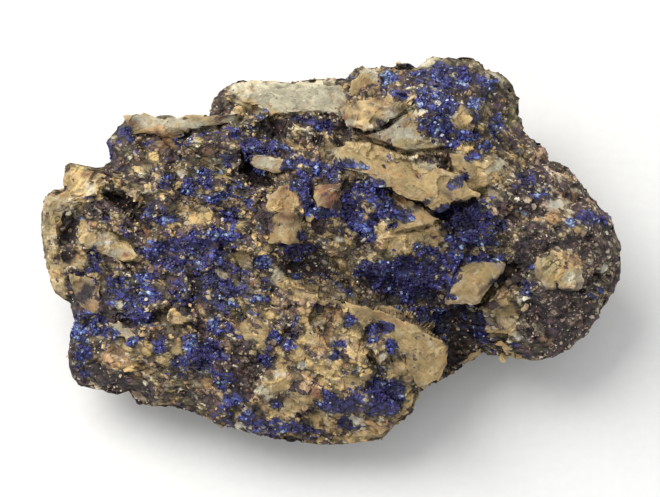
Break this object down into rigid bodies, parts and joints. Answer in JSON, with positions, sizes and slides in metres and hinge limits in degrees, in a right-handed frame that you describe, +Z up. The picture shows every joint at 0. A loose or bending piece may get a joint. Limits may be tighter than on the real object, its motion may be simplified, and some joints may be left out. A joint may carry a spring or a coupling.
{
  "type": "azurite specimen",
  "caption": "Hand-sized broken mineral specimen: ochre and grey host rock with deep blue azurite grown over its plates and hollows, resting on its flat underside.",
  "frame": {"origin": "middle of the bounding box's footprint, on the flat face that the stone rests on", "axes": "+X along the stone's longest side, +Y across it towards the higher back, +Z up, out of the resting face"},
  "size_m": [0.0914, 0.0591, 0.033],
  "materials": {
    "azurite_rock": "rough broken rock, dull ochre and near-black with sparkling deep blue crystal patches"
  },
  "bodies": {
    "root": {"azurite_specimen": "azurite_rock"}
  },
  "joints": []
}
